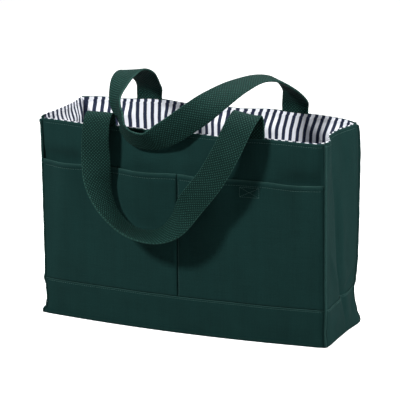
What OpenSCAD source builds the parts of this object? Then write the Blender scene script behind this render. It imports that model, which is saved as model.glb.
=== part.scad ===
// Garden tool bag: an open-topped canvas tote with a lined inside, two front pockets,
// a doubled band round the foot and two webbing handles.
// Origin at the middle of the underside, +X along the width, the front faces -Y, +Z up.

/* [Bag] */
// Width between the corner seams
bag_w = 410; // [400:1:420]
// Depth between the corner seams
bag_d = 120; // [114:1:126]
// Height from the floor to the rim
bag_h = 275; // [270:1:280]
// Height of the doubled band round the foot
band_h = 51; // [45:1:56]
// Thickness of the canvas
canvas_t = 1.2; // [1:0.1:1.4]
// Thickness of the ticking lining
lining_t = 0.6; // [0.4:0.1:0.8]

/* [Fullness] */
// How far the front bows out at the foot
front_belly = 13.5; // [11:0.5:14]
// How far the front bows out at the rim
front_rim_bow = 9; // [8:0.5:10]
// How far the back bows out at the foot
back_foot_bow = 6; // [4:0.5:8]
// How far the back bows out at the rim
back_rim_bow = 22; // [20:0.5:23]
// How far the back rim rises above the other three
back_rim_rise = 3; // [2:0.5:3]
// How far the right gusset dips in at the rim
right_dip = 12; // [8:0.5:14]
// How far the left gusset dips in at the rim
left_dip = 4.5; // [2:0.5:8]

/* [Pockets] */
// Height of the pocket mouths above the floor
pocket_top = 219; // [216:1:222]
// How far each pocket mouth stands off the front
pocket_gape = 8; // [7:0.5:9]
// Depth of the hem at the pocket mouth
pocket_hem = 8; // [6:0.5:12]

/* [Handles] */
// Width of the webbing
web_w = 38; // [36:0.5:38]
// Thickness of the webbing
web_t = 2.4; // [2:0.1:2.4]
// Distance from the middle of the bag to the front handle's left end
left_anchor_x = 110; // [109:0.5:111]
// Distance from the middle of the bag to the front handle's right end
right_anchor_x = 102; // [101:0.5:103]
// Distance from the middle of the bag to each end of the back handle
back_anchor_x = 108; // [107:0.5:109]
// Length of each handle end sewn in below the rim
sewn_l = 79; // [70:1:84]
// Width of the boxed cross that holds a handle end
cross_w = 28; // [24:1:30]
// Height of the boxed cross
cross_h = 14; // [12:1:16]

/* [Seams] */
// Radius of the rolled corner seams
welt_r = 2.2; // [2:0.1:2.3]
// Width of a row of stitches
stitch_w = 0.9; // [0.7:0.1:1.2]
// Height that a row of stitches stands proud
stitch_t = 0.4; // [0.3:0.1:0.5]

/* [Hidden] */
GREEN = "#16443b";
WEB_GREEN = "#1f5247";
TICKING = "#e9ebf0";
THREAD = "#2f6659";

half_w = bag_w / 2;
half_d = bag_d / 2;
gap = 0.3;
layer_t = canvas_t + gap;
corner_gap = 3.4;
lining_corner = 5.4;
web_depth = layer_t + web_t / 2 + 0.2;
lining_depth = layer_t + web_t + 2 * gap;
side_lining_depth = layer_t;
divider_gap = 0.5;
pocket_foot = band_h + 0.6;
rim_stitch_drop = 6;
band_stitch_drop = 3;
thread_gap = 0.25;
cross_z = pocket_top - 16;

// Columns and rows of a wall's mesh, and steps between two stations of a strap
wall_cols = 16;
gusset_cols = 10;
wall_rows = 5;
pocket_cols = 22;
strap_steps = 4;

// Free part of the front handle: middle of the strap, then the way across it.
// It starts and ends at the tops of the folds over the rim.
front_route = [
    [[-110, -72.2, 292], [1, 0, 0]],
    [[-110, -73.6, 292], [1, 0, 0]],
    [[-110, -77.5, 290.5], [1, 0.02, 0]],
    [[-110, -83, 284], [1, 0.05, 0]],
    [[-110, -89, 262], [1, 0.12, 0]],
    [[-109, -91, 232], [0.93, 0.35, 0]],
    [[-104, -96, 199], [0.6, 0.8, -0.05]],
    [[-87, -100, 166], [0.25, 0.95, -0.1]],
    [[-57, -102, 143], [0.05, 1, 0]],
    [[-21, -103, 140], [-0.15, 0.95, 0.25]],
    [[11, -105, 157], [-0.5, 0.6, 0.6]],
    [[35, -107, 190], [-0.75, 0.1, 0.6]],
    [[62, -105, 225], [-0.82, 0.05, 0.55]],
    [[82.5, -100, 262], [-0.88, 0.05, 0.47]],
    [[94, -90, 291], [-0.92, 0.05, 0.38]],
    [[98, -81, 302], [-0.95, 0.1, 0.26]],
    [[99.7, -76.5, 306], [-0.97, 0.07, 0.18]],
    [[100, -73.6, 307], [-0.985, 0.03, 0.15]],
    [[100, -72.2, 307], [-0.985, 0, 0.15]]
];

// Free part of the back handle, from just above the back rim, forward over the mouth,
// round in front of the front rim and back again.
back_route = [
    [[-108, 77.3, 283], [1, 0, 0]],
    [[-108, 77.1, 288], [1, 0, 0]],
    [[-106, 73.5, 295], [1, -0.08, 0.03]],
    [[-103, 64, 304], [0.97, -0.2, 0.14]],
    [[-103, 46, 320], [0.88, -0.3, 0.38]],
    [[-106, 20, 332], [0.97, -0.2, 0.16]],
    [[-103, -12, 330], [0.94, -0.33, 0.11]],
    [[-97, -42, 317], [0.8, -0.56, 0.23]],
    [[-88.5, -63.5, 304], [0.62, -0.74, 0.25]],
    [[-76.5, -80, 290], [0.52, -0.8, 0.3]],
    [[-69, -89, 278], [0.56, -0.76, 0.33]],
    [[-56, -89, 266], [0.46, -0.67, 0.58]],
    [[-33, -88, 263], [0.18, -0.64, 0.75]],
    [[-9, -87, 275], [-0.21, -0.38, 0.9]],
    [[24, -78, 298], [-0.49, -0.13, 0.86]],
    [[52, -58, 320], [-0.68, 0.42, 0.6]],
    [[70, -34, 333], [-0.72, 0.63, 0.28]],
    [[87, -2, 339], [-0.62, 0.78, 0.02]],
    [[101, 26, 333], [-0.6, 0.78, -0.04]],
    [[110, 46, 320], [-0.75, 0.6, -0.02]],
    [[113, 63, 305], [-0.9, 0.35, 0]],
    [[110, 73.5, 295], [-0.98, 0.08, 0]],
    [[108, 77.1, 288], [-1, 0, 0]],
    [[108, 77.3, 283], [-1, 0, 0]]
];

// ---- Outer faces of the four walls ----

function across(s, half) = 1 - pow(s / half, 2);
function full_across(s, half) = 1 - pow(s / half, 4);
function rise(z) = z / bag_h;
function front_bow(z) = front_belly - (front_belly - front_rim_bow) * pow(rise(z), 4);
function back_bow(z) = back_foot_bow + (back_rim_bow - back_foot_bow) * pow(rise(z), 2);

// Depth d is counted inward from the outer face.
function on_front(x, z, d = 0) = [x, -half_d - front_bow(z) * across(x, half_w) + d, z];
function on_back(x, z, d = 0) =
    let (full = full_across(x, half_w))
    [x, half_d + back_bow(z) * full - d, z + back_rim_rise * pow(rise(z), 4) * full];
function on_right(y, z, d = 0) = [half_w - right_dip * rise(z) * across(y, half_d) - d, y, z];
function on_left(y, z, d = 0) = [-half_w + left_dip * rise(z) * across(y, half_d) + d, y, z];

// Straight walk along the wall called side, s from the viewer's left to right outside it
function on_wall(side, s, z, d = 0) =
    side == "front" ? on_front(s, z, d) :
    side == "back" ? on_back(-s, z, d) :
    side == "right" ? on_right(s, z, d) :
    on_left(-s, z, d);

function mix(a, b, t) = a + (b - a) * t;

// Stand-off of a pocket from the front: nothing at its foot, sides, divider and crosses
function scallop(x) =
    let (cross_x = x < 0 ? left_anchor_x : right_anchor_x,
         near = cross_x - cross_w / 2,
         far = cross_x + cross_w / 2)
    abs(x) < near ? pow(sin(180 * abs(x) / near), 2) :
    abs(x) < far ? 0 :
    pow(sin(180 * (abs(x) - far) / (half_w - far)), 2);
function stand_off(x, z) =
    gap + pocket_gape * scallop(x) * pow(max(0, z - pocket_foot) / (pocket_top - pocket_foot), 2);

// ---- Closed sheets and straps ----

// A sheet between two grids of points; rows run upward, columns to the viewer's right
module sheet(outer, inner) {
    rows = len(outer) - 1;
    cols = len(outer[0]) - 1;
    n = (rows + 1) * (cols + 1);
    function at(i, j) = j * (cols + 1) + i;
    points = concat([for (row = outer) each row], [for (row = inner) each row]);
    skins = [for (j = [0:rows - 1], i = [0:cols - 1])
        let (a = at(i, j), b = at(i + 1, j), c = at(i + 1, j + 1), d = at(i, j + 1))
        each [[a, d, c], [a, c, b], [a + n, c + n, d + n], [a + n, b + n, c + n]]];
    foot_and_top = [for (i = [0:cols - 1])
        let (a = at(i, 0), b = at(i + 1, 0), c = at(i + 1, rows), d = at(i, rows))
        each [[a, b, b + n], [a, b + n, a + n], [c, d, d + n], [c, d + n, c + n]]];
    ends = [for (j = [0:rows - 1])
        let (a = at(0, j), d = at(0, j + 1), b = at(cols, j), c = at(cols, j + 1))
        each [[d, a, a + n], [d, a + n, d + n], [b, c, c + n], [b, c + n, b + n]]];
    polyhedron(points, concat(skins, foot_and_top, ends), convexity = 4);
}

// A piece of a wall between s0 and s1, z0 and z1, from depth d0 to depth d1
module wall_sheet(side, s0, s1, z0, z1, d0, d1, cols = wall_cols, rows = wall_rows) {
    function grid(d) = [for (j = [0:rows])
        [for (i = [0:cols]) on_wall(side, mix(s0, s1, i / cols), mix(z0, z1, j / rows), d)]];
    sheet(grid(d0), grid(d1));
}

// A piece that follows a pocket's outer face
function on_pocket(x, z, d = 0) = on_front(x, z, d - stand_off(x, z));
module pocket_sheet(x0, x1, z0, z1, d0, d1, cols = pocket_cols, rows = wall_rows) {
    function grid(d) = [for (j = [0:rows])
        [for (i = [0:cols]) on_pocket(mix(x0, x1, i / cols), mix(z0, z1, j / rows), d)]];
    sheet(grid(d0), grid(d1));
}

function unit(v) = v / norm(v);
function spline(a, b, c, d, t) =
    (2 * b + (c - a) * t + (2 * a - 5 * b + 4 * c - d) * t * t
        + (3 * b - a - 3 * c + d) * t * t * t) / 2;

// All stations of a strap after smoothing, with the first and last tangents kept straight
function smooth(list, steps) =
    let (n = len(list) - 1,
         before = 2 * list[0] - list[1],
         after = 2 * list[n] - list[n - 1])
    concat([for (k = [0:n - 1], s = [0:steps - 1])
        spline(k == 0 ? before : list[k - 1], list[k], list[k + 1],
               k == n - 1 ? after : list[k + 2], s / steps)], [list[n]]);

// Webbing swept along a route of [middle, way across] stations
module strap(route, steps = strap_steps) {
    mid = smooth([for (r = route) r[0]], steps);
    over = smooth([for (r = route) r[1]], steps);
    last = len(mid) - 1;
    function along(k) = unit(mid[min(k + 1, last)] - mid[max(k - 1, 0)]);
    function side(k) = unit(over[k] - along(k) * (over[k] * along(k)));
    rings = [for (k = [0:last])
        let (w = side(k) * web_w / 2, t = cross(along(k), side(k)) * web_t / 2)
        [mid[k] - w - t, mid[k] + w - t, mid[k] + w + t, mid[k] - w + t]];
    points = [for (ring = rings) each ring];
    skin = [for (k = [0:last - 1], i = [0:3])
        let (a = 4 * k + i, b = 4 * k + (i + 1) % 4)
        each [[a, b, b + 4], [a, b + 4, a + 4]]];
    caps = [[0, 3, 2], [0, 2, 1],
            [4 * last, 4 * last + 1, 4 * last + 2], [4 * last, 4 * last + 2, 4 * last + 3]];
    polyhedron(points, concat([for (f = skin) [f[0], f[2], f[1]]],
        [for (f = caps) [f[0], f[2], f[1]]]), convexity = 6);
}

// ---- Canvas shell ----

module front_panel() {
    color(GREEN) wall_sheet("front", corner_gap - half_w, half_w - corner_gap, layer_t, bag_h,
        0, canvas_t);
}

module back_panel() {
    color(GREEN) wall_sheet("back", corner_gap - half_w, half_w - corner_gap, layer_t, bag_h,
        0, canvas_t);
}

module left_gusset() {
    color(GREEN) wall_sheet("left", corner_gap - half_d, half_d - corner_gap, layer_t, bag_h,
        0, canvas_t, gusset_cols);
}

module right_gusset() {
    color(GREEN) wall_sheet("right", corner_gap - half_d, half_d - corner_gap, layer_t, bag_h,
        0, canvas_t, gusset_cols);
}

// Outline of the foot, with the corners cut back by c and the walls left by d
function foot_outline(c, d) =
    let (xs = half_w - c, ys = half_d - c,
         run = [for (i = [0:wall_cols]) mix(-xs, xs, i / wall_cols)])
    concat([for (x = run) let (p = on_front(x, 0, d)) [p[0], p[1]]],
        [for (y = [-ys, ys]) [half_w - d, y]],
        [for (x = run) let (p = on_back(-x, 0, d)) [p[0], p[1]]],
        [for (y = [ys, -ys]) [d - half_w, y]]);

module base_panel() {
    color(GREEN) linear_extrude(canvas_t) polygon(foot_outline(corner_gap + 1.1, 0));
}

// ---- Band round the foot ----

module foot_band(side, half, cols) {
    run = half - corner_gap - gap;
    color(GREEN) wall_sheet(side, -run, run, 0, band_h, -layer_t, -gap, cols, 2);
}
module front_band() { foot_band("front", half_w, wall_cols); }
module back_band() { foot_band("back", half_w, wall_cols); }
module left_band() { foot_band("left", half_d, 6); }
module right_band() { foot_band("right", half_d, 6); }

// ---- Front pockets ----

module pocket(x0, x1) {
    color(GREEN) pocket_sheet(x0, x1, pocket_foot, pocket_top, -canvas_t, 0);
}
module left_pocket() { pocket(corner_gap + gap - half_w, -divider_gap); }
module right_pocket() { pocket(divider_gap, half_w - corner_gap - gap); }

// ---- Rolled corner seams ----

module welt(x_side, y_side) {
    color(GREEN) translate([x_side * (half_w - 1), y_side * (half_d + 0.2), 0])
        cylinder(h = bag_h, r = welt_r, $fn = 24);
}
module front_left_welt() { welt(-1, -1); }
module front_right_welt() { welt(1, -1); }
module back_left_welt() { welt(-1, 1); }
module back_right_welt() { welt(1, 1); }

// ---- Ticking lining ----

module lining(side, half, depth, cols) {
    run = half - lining_corner;
    color(TICKING) wall_sheet(side, -run, run, 2 * layer_t, bag_h, depth, depth + lining_t, cols);
}
module front_lining() { lining("front", half_w, lining_depth, wall_cols); }
module back_lining() { lining("back", half_w, lining_depth, wall_cols); }
module left_lining() { lining("left", half_d, side_lining_depth, gusset_cols); }
module right_lining() { lining("right", half_d, side_lining_depth, gusset_cols); }
module base_lining() {
    color(TICKING) translate([0, 0, layer_t]) linear_extrude(lining_t)
        polygon(foot_outline(lining_corner, layer_t + gap));
}

// ---- Handles ----

module front_handle() { color(WEB_GREEN) strap(front_route); }
module back_handle() { color(WEB_GREEN) strap(back_route); }

// Slope of a wall across the end of a handle at x
function front_slope(x, z) = 2 * front_bow(z) * x / pow(half_w, 2);
function back_slope(x, z) = -4 * back_bow(z) * pow(x, 3) / pow(half_w, 4);

// Sewn stretch of a handle end, between the canvas and the lining
function sewn_route(wall, x) =
    [for (share = [1, 0.66, 0.34, 0.14, 0.02])
        let (z = bag_h - sewn_l * share)
        wall == "front"
            ? [on_front(x, z, web_depth), [1, front_slope(x, z), 0]]
            : [on_back(x, z, web_depth), [1, back_slope(x, z), 0]]];

module front_handle_left_end() {
    color(WEB_GREEN) strap(concat(sewn_route("front", -left_anchor_x), [
        [[-110, -66.5, 284], [1, 0, 0]],
        [[-110, -67.8, 289.5], [1, 0, 0]],
        [[-110, -70.2, 292], [1, 0, 0]],
        [[-110, -71.6, 292], [1, 0, 0]]
    ]), 3);
}
module front_handle_right_end() {
    color(WEB_GREEN) strap(concat(sewn_route("front", right_anchor_x), [
        [[102, -63.7, 290], [1, 0, 0]],
        [[101.5, -64.2, 300], [0.99, 0, -0.08]],
        [[100.5, -65.9, 305.6], [0.98, 0, -0.13]],
        [[100, -69.4, 307], [0.985, 0, -0.15]],
        [[100, -70.8, 307], [0.985, 0, -0.15]]
    ]), 3);
}
module back_handle_left_end() {
    color(WEB_GREEN) strap(concat(sewn_route("back", -back_anchor_x), [
        [[-108, 77.3, 282], [1, 0, 0]]
    ]), 2);
}
module back_handle_right_end() {
    color(WEB_GREEN) strap(concat(sewn_route("back", back_anchor_x), [
        [[108, 77.3, 282], [1, 0, 0]]
    ]), 2);
}

// ---- Stitching ----

module wall_row(side, half, z, cols) {
    run = half - corner_gap;
    wall_sheet(side, -run, run, z, z + stitch_w, -thread_gap - stitch_t, -thread_gap, cols, 1);
}
module rim_stitching() {
    z = bag_h - rim_stitch_drop;
    color(THREAD) {
        wall_row("front", half_w, z, wall_cols);
        wall_row("back", half_w, z, wall_cols);
        wall_row("left", half_d, z, gusset_cols);
        wall_row("right", half_d, z, gusset_cols);
    }
}

module band_row(side, half, cols) {
    run = half - corner_gap - gap;
    z = band_h - band_stitch_drop;
    out = -layer_t - thread_gap;
    wall_sheet(side, -run, run, z, z + stitch_w, out - stitch_t, out, cols, 1);
}
module band_stitching() {
    color(THREAD) {
        band_row("front", half_w, wall_cols);
        band_row("back", half_w, wall_cols);
        band_row("left", half_d, 6);
        band_row("right", half_d, 6);
    }
}

module pocket_row(x0, x1, z0, z1, cols) {
    out = -canvas_t - thread_gap;
    pocket_sheet(x0, x1, z0, z1, out - stitch_t, out, cols, 1);
}
module pocket_hem_stitching() {
    z = pocket_top - pocket_hem;
    x1 = half_w - corner_gap - gap;
    color(THREAD) for (way = [0, 1])
        pocket_row(way ? divider_gap : -x1, way ? x1 : -divider_gap, z, z + stitch_w, pocket_cols);
}
module pocket_divider_stitching() {
    color(THREAD) pocket_sheet(stitch_w, 2 * stitch_w, pocket_foot + 1, pocket_top - pocket_hem - 2,
        -canvas_t - thread_gap - stitch_t, -canvas_t - thread_gap, 1, 8);
}

// A boxed cross of stitches on an outer face given by lift, centred at x
module boxed_cross(wall, x, lift) {
    low = cross_z - cross_h / 2;
    high = cross_z + cross_h / 2;
    left = x - cross_w / 2;
    right = x + cross_w / 2;
    bar = stitch_w;
    reach = 12;
    turn = atan2(cross_h - 2 * bar, cross_w - 2 * bar);
    long = norm([cross_w - 2 * bar, cross_h - 2 * bar]) - 3 * bar;
    face = wall == "front" ? -1 : 1;
    intersection() {
        translate([x, face * (half_d + reach), cross_z]) rotate([90, 0, 0])
            linear_extrude(2 * reach, center = true) {
                difference() {
                    square([cross_w, cross_h], center = true);
                    square([cross_w - 2 * bar, cross_h - 2 * bar], center = true);
                }
                rotate(turn) square([long, bar], center = true);
                rotate(-turn) square([long, bar], center = true);
            }
        if (wall == "front")
            wall_sheet("front", left - 1, right + 1, low - 1, high + 1, lift - stitch_t, lift, 4, 2);
        else
            wall_sheet("back", -right - 1, 1 - left, low - 1, high + 1, lift - stitch_t, lift, 4, 2);
    }
}
module front_handle_cross_stitching() {
    color(THREAD) for (x = [-left_anchor_x, right_anchor_x])
        boxed_cross("front", x, -gap - canvas_t - thread_gap);
}
module back_handle_cross_stitching() {
    color(THREAD) for (x = [-back_anchor_x, back_anchor_x])
        boxed_cross("back", x, -thread_gap);
}

front_panel();
back_panel();
left_gusset();
right_gusset();
base_panel();
front_band();
back_band();
left_band();
right_band();
left_pocket();
right_pocket();
front_left_welt();
front_right_welt();
back_left_welt();
back_right_welt();
front_lining();
back_lining();
left_lining();
right_lining();
base_lining();
front_handle();
front_handle_left_end();
front_handle_right_end();
back_handle();
back_handle_left_end();
back_handle_right_end();
rim_stitching();
band_stitching();
pocket_hem_stitching();
pocket_divider_stitching();
front_handle_cross_stitching();
back_handle_cross_stitching();
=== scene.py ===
"""Looks of the garden tool bag: canvas, ticking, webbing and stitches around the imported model.

Walls are described in millimetres and turned into metres when a mesh is made. A wall is walked
with s from left to right as seen from outside it, z upward, and depth d inward.
"""

import math
from functools import partial

import bpy
import numpy as np
from mathutils import Matrix, Vector


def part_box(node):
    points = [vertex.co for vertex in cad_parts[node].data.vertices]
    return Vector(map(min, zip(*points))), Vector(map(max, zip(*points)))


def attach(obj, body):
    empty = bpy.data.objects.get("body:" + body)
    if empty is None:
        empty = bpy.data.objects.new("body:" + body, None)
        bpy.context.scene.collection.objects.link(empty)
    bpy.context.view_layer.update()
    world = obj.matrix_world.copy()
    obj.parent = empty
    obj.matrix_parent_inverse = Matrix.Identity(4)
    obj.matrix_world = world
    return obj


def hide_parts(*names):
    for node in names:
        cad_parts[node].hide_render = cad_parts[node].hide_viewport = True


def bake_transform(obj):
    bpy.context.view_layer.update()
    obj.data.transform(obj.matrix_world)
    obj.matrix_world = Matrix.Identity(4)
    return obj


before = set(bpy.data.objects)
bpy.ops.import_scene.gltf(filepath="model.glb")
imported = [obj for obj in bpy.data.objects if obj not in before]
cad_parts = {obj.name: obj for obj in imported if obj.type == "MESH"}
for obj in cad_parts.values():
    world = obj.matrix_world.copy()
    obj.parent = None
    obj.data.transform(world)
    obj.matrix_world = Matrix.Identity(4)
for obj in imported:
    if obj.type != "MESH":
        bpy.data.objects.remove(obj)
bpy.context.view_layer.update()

MM = 0.001
SEED = 11

# ---- Driving dimensions, in mm, as in the design ----

BAG_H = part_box("front_panel")[1].z / MM
BAND_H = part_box("front_band")[1].z / MM
POCKET_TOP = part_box("left_pocket")[1].z / MM
CORNER_GAP = 3.4
WALL_END = 2.0
HALF_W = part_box("front_panel")[1].x / MM + CORNER_GAP
HALF_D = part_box("right_gusset")[1].y / MM + CORNER_GAP
CANVAS_T = 1.2
LINING_T = 0.6
GAP = 0.3
LAYER_T = CANVAS_T + GAP
LINING_CORNER = 4.8
FRONT_BELLY, FRONT_RIM_BOW = 13.5, 9.0
BACK_FOOT_BOW, BACK_RIM_BOW = 6.0, 22.0
RIGHT_DIP, LEFT_DIP = 12.0, 4.5
POCKET_GAPE, POCKET_HEM = 8.0, 8.0
POCKET_FOOT = BAND_H + 0.6
LEFT_ANCHOR_X, RIGHT_ANCHOR_X, BACK_ANCHOR_X = 110.0, 102.0, 108.0
WEB_W, WEB_T = 38.0, 2.4
WEB_DEPTH = LAYER_T + WEB_T / 2 + 0.2
WELT_R = 2.0
RIM_STITCH_DROP = 6.0
BAND_STITCH_DROP = 3.0
CROSS_W, CROSS_H = 28.0, 14.0
CROSS_Z = POCKET_TOP - 16
DIVIDER_X = 0.8
RIM_STITCH_Z = BAG_H - RIM_STITCH_DROP + 0.4
BAND_STITCH_Z = BAND_H - BAND_STITCH_DROP + 0.4
HEM_STITCH_Z = POCKET_TOP - POCKET_HEM + 0.4
HALF = {"front": HALF_W, "back": HALF_W, "left": HALF_D, "right": HALF_D}
WALL_NODE = {"front": "front_panel", "back": "back_panel",
             "left": "left_gusset", "right": "right_gusset"}

# ---- Folds of the cloth ----


def fade(t):
    """Smooth step from 0 to 1 over 0 to 1."""
    t = np.clip(t, 0, 1)
    return t * t * (3 - 2 * t)


def ridge(x, at, width):
    """1 along a line, falling away to nothing on both sides of it."""
    return np.exp(-((x - at) / width) ** 2)


def knots(z, pairs):
    """Value at z, easing between (z, value) pairs."""
    z = np.asarray(z, float)
    out = np.full(z.shape, float(pairs[0][1]))
    for (z0, v0), (z1, v1) in zip(pairs, pairs[1:]):
        out = np.where(z >= z0, v0 + (v1 - v0) * fade((z - z0) / (z1 - z0)), out)
    return out


def waves(s, z, seed, count=7, long=150.0, short=38.0):
    """Gentle standing waves, about one unit high, from a seeded set of directions."""
    rng = np.random.default_rng(seed)
    total = np.zeros(np.broadcast(s, z).shape)
    for _ in range(count):
        length = rng.uniform(short, long)
        turn = rng.uniform(-0.9, 0.9)
        phase = rng.uniform(0, 2 * math.pi)
        total += np.sin(2 * math.pi * (s * math.cos(turn) + z * math.sin(turn)) / length + phase)
    return total / math.sqrt(count)


def fold(s, z, path, width, sharp=False):
    """Height of one fold. path lists (s, z, height) points; negative heights are valleys."""
    best = np.full(np.broadcast(s, z).shape, 1e9)
    height = np.zeros(best.shape)
    for (s0, z0, h0), (s1, z1, h1) in zip(path, path[1:]):
        ds, dz = s1 - s0, z1 - z0
        t = np.clip(((s - s0) * ds + (z - z0) * dz) / (ds * ds + dz * dz), 0, 1)
        away = np.hypot(s - s0 - t * ds, z - z0 - t * dz)
        near = away < best
        best = np.where(near, away, best)
        height = np.where(near, h0 + (h1 - h0) * t, height)
    ratio = best / width
    if sharp:
        return height * np.exp(-np.sqrt(ratio * ratio + 0.04) + 0.2)
    return height * np.exp(-ratio * ratio)


# Folds of each wall, as fold() takes them: (s, z, height) points, width, sharp
FOLDS = {
    "front": [
        ([(-168, 262, 0), (-160, 238, 1.2), (-150, 214, 0)], 14, False),
        ([(-60, 262, 0), (0, 246, -1.4), (70, 258, 0)], 16, False),
        ([(150, 255, 0.8), (196, 236, -0.8)], 12, False),
        ([(-188, 190, 0), (-176, 130, 1.2), (-184, 70, 0)], 14, False),
        ([(-120, 150, 0), (-105, 105, -1.2), (-112, 62, 0)], 20, False),
        ([(120, 170, 0), (135, 110, 1.0), (128, 60, 0)], 22, False),
        ([(-150, 30, 0), (-60, 24, -1.0), (40, 30, 0)], 12, False),
        ([(80, 36, 0), (160, 22, 1.0), (195, 30, 0)], 12, False),
        ([(DIVIDER_X, 213, 0), (DIVIDER_X, 200, -1.3), (DIVIDER_X, 56, -1.3), (DIVIDER_X, 50, 0)],
         2.6, False),
    ],
    "back": [
        ([(-150, 250, 0), (-60, 235, 1.6), (20, 250, 0)], 14, False),
        ([(60, 240, 0), (130, 200, -2.0), (170, 120, 0)], 22, False),
        ([(-170, 200, 0), (-130, 130, -2.0), (-150, 70, 0)], 20, False),
        ([(-40, 170, 0), (0, 110, 1.6), (-20, 60, 0)], 26, False),
        ([(110, 110, 0), (90, 74, 1.4), (100, 54, 0)], 12, False),
        ([(-100, 34, 0), (0, 22, -1.2), (110, 30, 0)], 12, False),
    ],
    "right": [
        ([(-12, 275, -1.5), (-6, 235, -2.8), (5, 180, -6.0), (2, 120, -7.0), (0, 77, -7.5),
          (9, 52, -6.5), (13, 22, -3.4), (12, 2, 0)], 7.0, True),
        ([(-40, 128, 0), (-30, 105, 2.2), (-12, 76, 2.4), (4, 56, 0)], 7, False),
        ([(16, 200, 0), (17, 140, 1.8), (14, 92, 1.2), (26, 60, 0)], 8, False),
        ([(48, 70, -2.0), (30, 60, -2.2), (10, 53, -1.0)], 6, False),
        ([(-34, 262, 0), (-28, 238, 1.4), (-34, 205, 0)], 7, False),
        ([(30, 262, 0), (38, 232, 1.6), (28, 196, 0)], 8, False),
        ([(-40, 276, 5.0), (-39, 245, 3.2), (-37, 205, 0)], 13, False),
        ([(-44, 34, 0), (-24, 24, 2.0), (-8, 36, 0)], 9, False),
        ([(52, 44, -1.0), (44, 26, -2.0), (34, 8, 0)], 7, False),
    ],
    "left": [
        ([(6, 275, -1.0), (2, 220, -3.0), (-3, 150, -4.0), (2, 80, -4.5), (-6, 50, -4.0),
          (-10, 18, -2.0), (-10, 2, 0)], 6, True),
        ([(34, 150, 0), (24, 110, 1.8), (6, 66, 0)], 8, False),
        ([(-36, 240, 0), (-28, 200, 1.6), (-34, 150, 0)], 9, False),
        ([(-30, 36, 0), (-20, 22, 1.8), (-6, 30, 0)], 9, False),
    ],
}
# Hollows of the front behind the pocket mouths, which the pockets don't follow
MOUTH_HOLLOWS = [
    ([(-204, 223, -4.2), (-150, 223, -4.4), (-118, 223, 0)], 12, False),
    ([(124, 223, 0), (170, 223, -4.4), (204, 223, -4.2)], 12, False),
    ([(-90, 221, 0), (-45, 221, -1.8), (0, 221, -1.0), (40, 221, -1.8), (84, 221, 0)], 9, False),
]
WAVE_HEIGHT = {"front": 0.55, "back": 0.8, "right": 0.8, "left": 0.8}

# How far each corner seam wanders, in x and in y, as (z, shift) pairs
CORNERS = {
    (-1, -1): ([(0, -6.5), (5, -5.0), (11, 0.0), (24, 1.8), (40, 0.6), (51, -1.8), (58, -0.4),
                (75, 0.0), (245, 0.0), (265, -0.6), (275, -2.0)], [(0, 0.5), (14, 0)]),
    (1, -1): ([(0, 0.8), (20, -0.6), (51, 0.8), (75, 0.0)],
              [(0, -0.8), (20, 0), (51, -0.6), (70, 0)]),
    (1, 1): ([(0, 3.2), (6, 2.2), (16, -1.5), (34, -5.0), (50, -5.5), (60, -3.2), (95, -0.8),
              (150, 0.6), (235, 1.8), (262, 0.8), (275, -1.0)],
             [(0, 2.5), (14, 0), (51, -1.5), (80, 0)]),
    (-1, 1): ([(0, -3.6), (8, -1.0), (20, 1.2), (51, -1.2), (70, 0.2), (240, 0.0), (275, -0.8)],
              [(0, 2.0), (12, 0), (51, 0.8), (75, 0)]),
}
CORNER_REACH = 46.0

# How far the rim rises above its nominal height along each wall, as (s, rise) pairs
RIM_LIFT = {
    "front": [(-205, 0), (205, 0)],
    "back": [(-205, 1.2), (-174, 3.2), (-120, 5.2), (-77, 3.9), (-17, 2.8), (54, 3.2),
             (105, 5.8), (141, 3.8), (178, 5.8), (205, 4.6)],
    "left": [(-60, 4.6), (-30, 4.6), (0, 5.2), (40, 5.2), (55, 4.0), (60, 1.5)],
    "right": [(-60, 0), (60, 1.2)],
}
SIDE_CORNERS = {"front": ((-1, -1), (1, -1)), "right": ((1, -1), (1, 1)),
                "back": ((1, 1), (-1, 1)), "left": ((-1, 1), (-1, -1))}


def mouth_hollow(s, z):
    """Height of the hollows behind the pocket mouths."""
    return sum(fold(s, z, *hollow) for hollow in MOUTH_HOLLOWS)


def relief(side, s, z):
    """How far a wall stands out from its plain shape: folds, waves and pulled-in seams."""
    half = HALF[side]
    out = np.zeros(np.broadcast(s, z).shape)
    for path, width, sharp in FOLDS[side]:
        out = out + fold(s, z, path, width, sharp)
    if side == "front":
        out = out + mouth_hollow(s, z)
    free = fade((half - np.abs(s)) / 24) * fade(z / 22) * (1 - 0.5 * fade((z - 255) / 20))
    out = out + WAVE_HEIGHT[side] * waves(s, z, SEED + len(side)) * free
    out = out * fade((half - np.abs(s)) / 9 + 0.08)
    return out - 1.1 * ridge(half - np.abs(s), 5.0, 3.2)


def corner_shift(side, s, z):
    """Wander of the corner seams, fading out along the wall."""
    half = HALF[side]
    dx = np.zeros(np.broadcast(s, z).shape)
    dy = np.zeros(dx.shape)
    for corner, away in zip(SIDE_CORNERS[side], (s + half, half - s)):
        weight = 1 - fade(away / CORNER_REACH)
        in_x, in_y = CORNERS[corner]
        dx = dx + weight * knots(z, in_x)
        dy = dy + weight * knots(z, in_y)
    return dx, dy


def bow(side, s, z):
    """Plain shape of a wall: how far it stands out from the plane through its corner seams."""
    rise = z / BAG_H
    along = s / HALF[side]
    if side == "front":
        return (FRONT_BELLY - (FRONT_BELLY - FRONT_RIM_BOW) * rise ** 4) * (1 - along ** 2)
    if side == "back":
        return (BACK_FOOT_BOW + (BACK_RIM_BOW - BACK_FOOT_BOW) * rise ** 2) * (1 - along ** 4)
    dip = RIGHT_DIP if side == "right" else LEFT_DIP
    return -dip * rise * (1 - along ** 2)


def rim_sag(side, s, z):
    """Slack of the cloth downward, which grows towards the rim."""
    rise = np.clip(z / BAG_H, 0, 1) ** 6
    slack = 0.7 + 0.7 * waves(s, 0 * z, SEED + 40 + len(side), 4, 120, 60)
    return rise * slack * fade((HALF[side] - np.abs(s)) / 14)


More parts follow.
